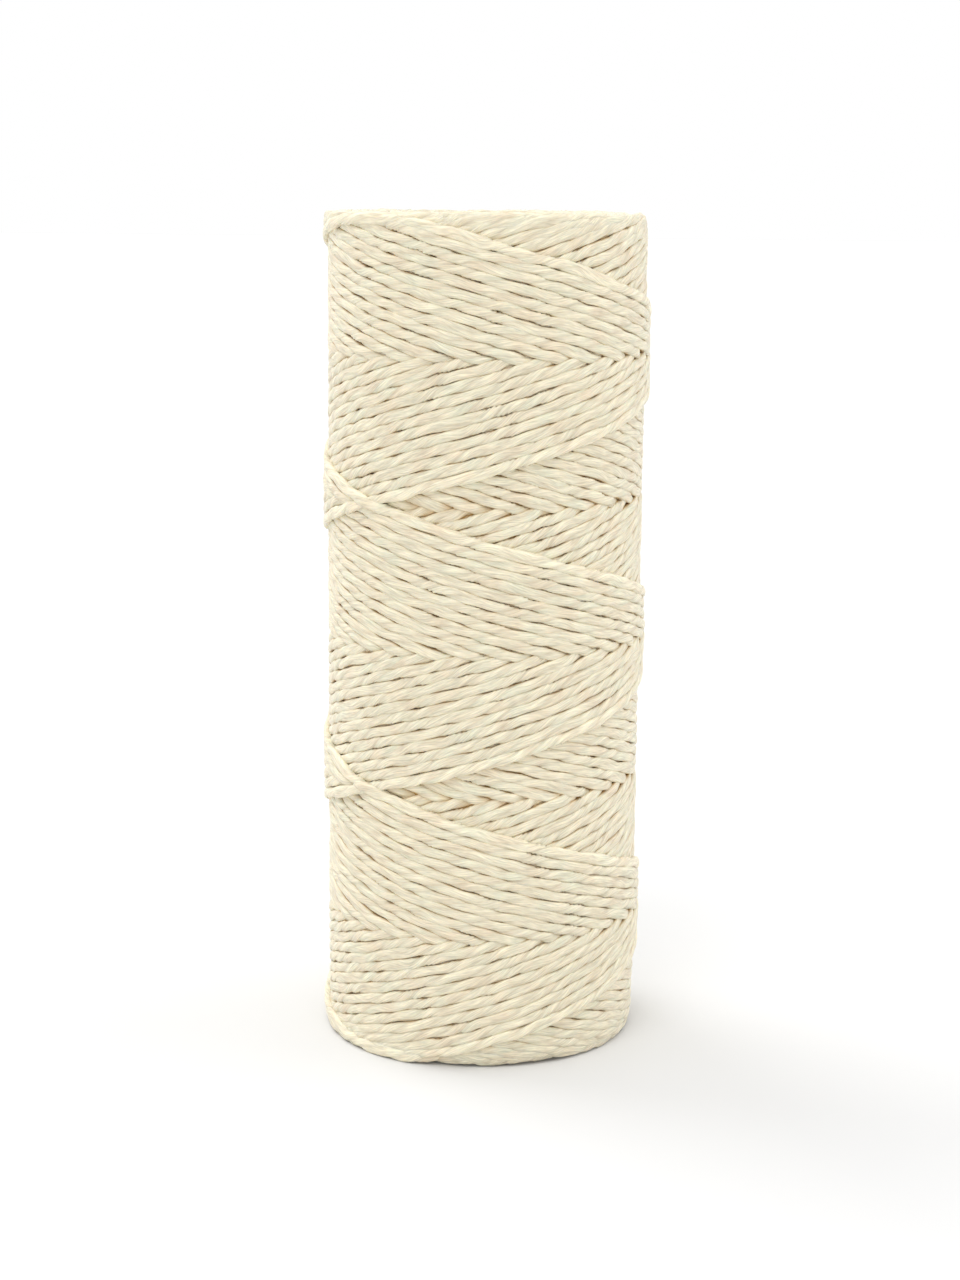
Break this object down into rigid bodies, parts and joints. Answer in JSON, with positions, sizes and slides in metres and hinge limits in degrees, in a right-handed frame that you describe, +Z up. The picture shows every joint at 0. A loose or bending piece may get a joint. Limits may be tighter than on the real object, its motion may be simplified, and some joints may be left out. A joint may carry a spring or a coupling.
{
  "type": "waxed thread spool",
  "caption": "Roll of waxed sewing thread for leatherwork, wound crosswise on a paper tube and standing on end.",
  "frame": {"origin": "on the roll's axis, in the plane of its lower end, which it stands on", "axes": "+Z up along the roll's axis, towards its upper end; -Y towards the viewer of the picture, +X to the viewer's right"},
  "size_m": [0.026, 0.026, 0.0665],
  "materials": {
    "tube_paper": "matte",
    "thread": "satin"
  },
  "bodies": {
    "root": {"core_tube": "tube_paper", "inner_winding": "thread", "outer_winding": "thread"}
  },
  "joints": []
}
